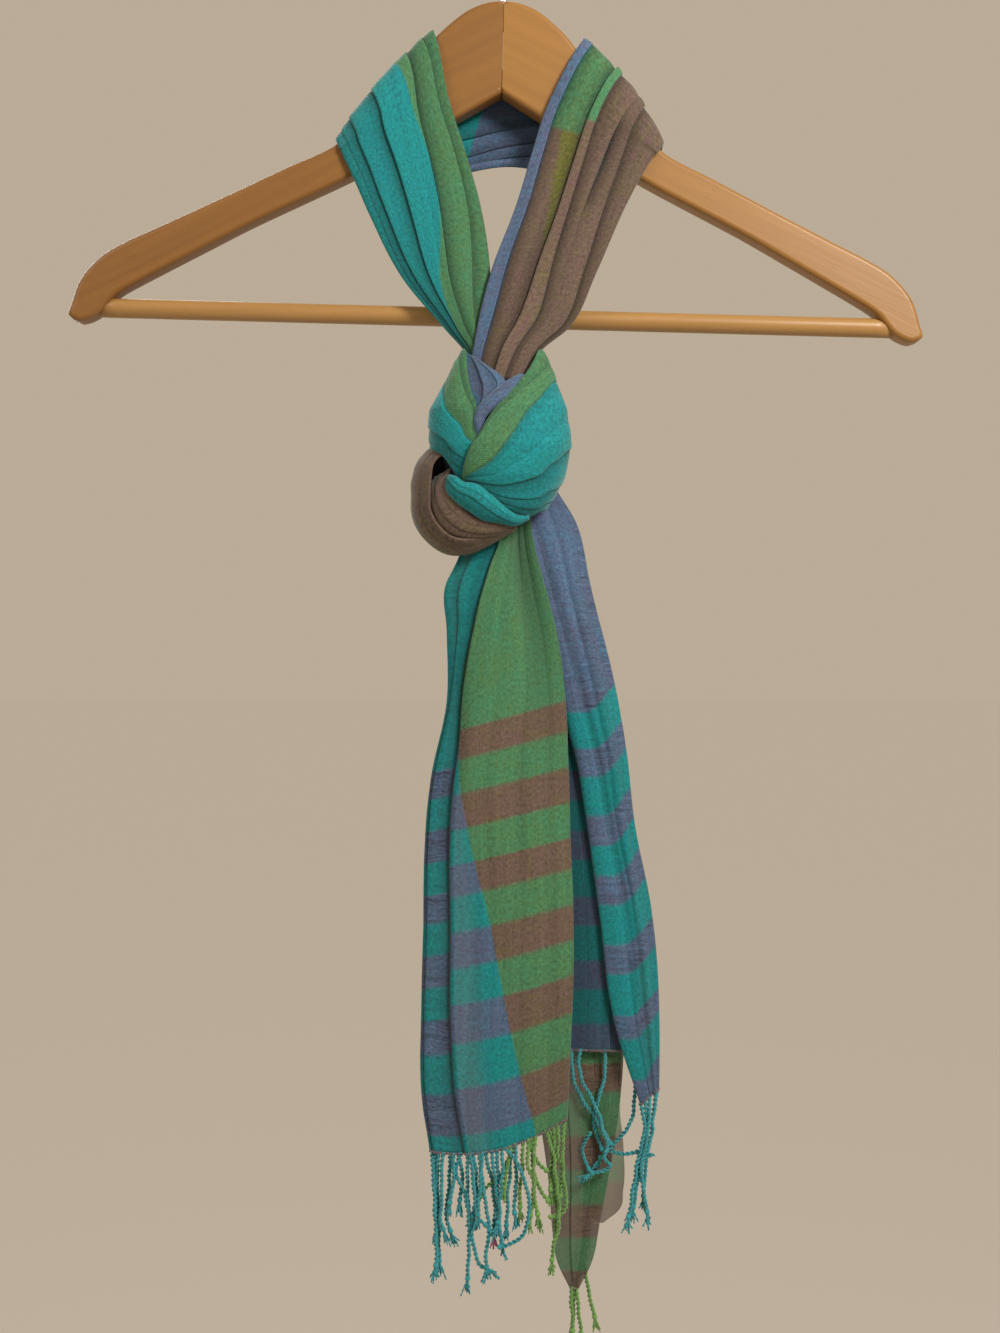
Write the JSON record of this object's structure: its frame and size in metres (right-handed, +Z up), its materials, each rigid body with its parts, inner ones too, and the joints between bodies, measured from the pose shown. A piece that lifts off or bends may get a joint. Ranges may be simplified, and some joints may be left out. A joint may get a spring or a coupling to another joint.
{
  "type": "knotted scarf on a clothes hanger",
  "caption": "Long thin banded scarf with twisted fringes, doubled and tied in a twist-through knot over a wooden clothes hanger, its tails hanging down.",
  "frame": {"origin": "top of the inside of the hanger's hook, where it rests on a rail", "axes": "+Z up, -Y towards the viewer of the knot, +X to that viewer's right, along the hanger"},
  "size_m": [0.4458, 0.0641, 0.7647],
  "materials": {
    "hook_metal": "bright plated wire",
    "arm_wood": "satin varnished wood, honey brown",
    "bar_wood": "satin varnished wood, pale",
    "cloth_teal": "thin soft plain weave, blue-green warp and weft",
    "cloth_green": "thin soft plain weave, yellow-green warp, blue-green weft",
    "cloth_violet": "thin soft plain weave, blue-green warp, pink weft",
    "cloth_brown": "thin soft plain weave, yellow-green warp, pink weft",
    "fringe_teal": "twisted yarn, blue-green",
    "fringe_green": "twisted yarn, yellow-green"
  },
  "bodies": {
    "root": {"hanger_hook": "hook_metal", "hanger_arm_left": "arm_wood", "hanger_arm_right": "arm_wood", "hanger_bar": "bar_wood", "collar_left": "cloth_teal", "collar_right": "cloth_brown", "collar_back": "cloth_violet", "knot_core": "cloth_violet", "knot_tuck": "cloth_violet", "knot_wrap_left": "cloth_teal", "knot_wrap_right": "cloth_teal", "knot_wrap_back": "cloth_teal", "knot_roll": "cloth_teal", "knot_bight_rim": "cloth_brown", "knot_bight_face": "cloth_brown", "tail_front": "cloth_green", "tail_right": "cloth_violet", "tail_inner": "cloth_teal", "tail_back": "cloth_green", "fringe_front": "fringe_teal", "fringe_right": "fringe_teal", "fringe_inner": "fringe_teal", "fringe_back": "fringe_green"}
  },
  "joints": []
}
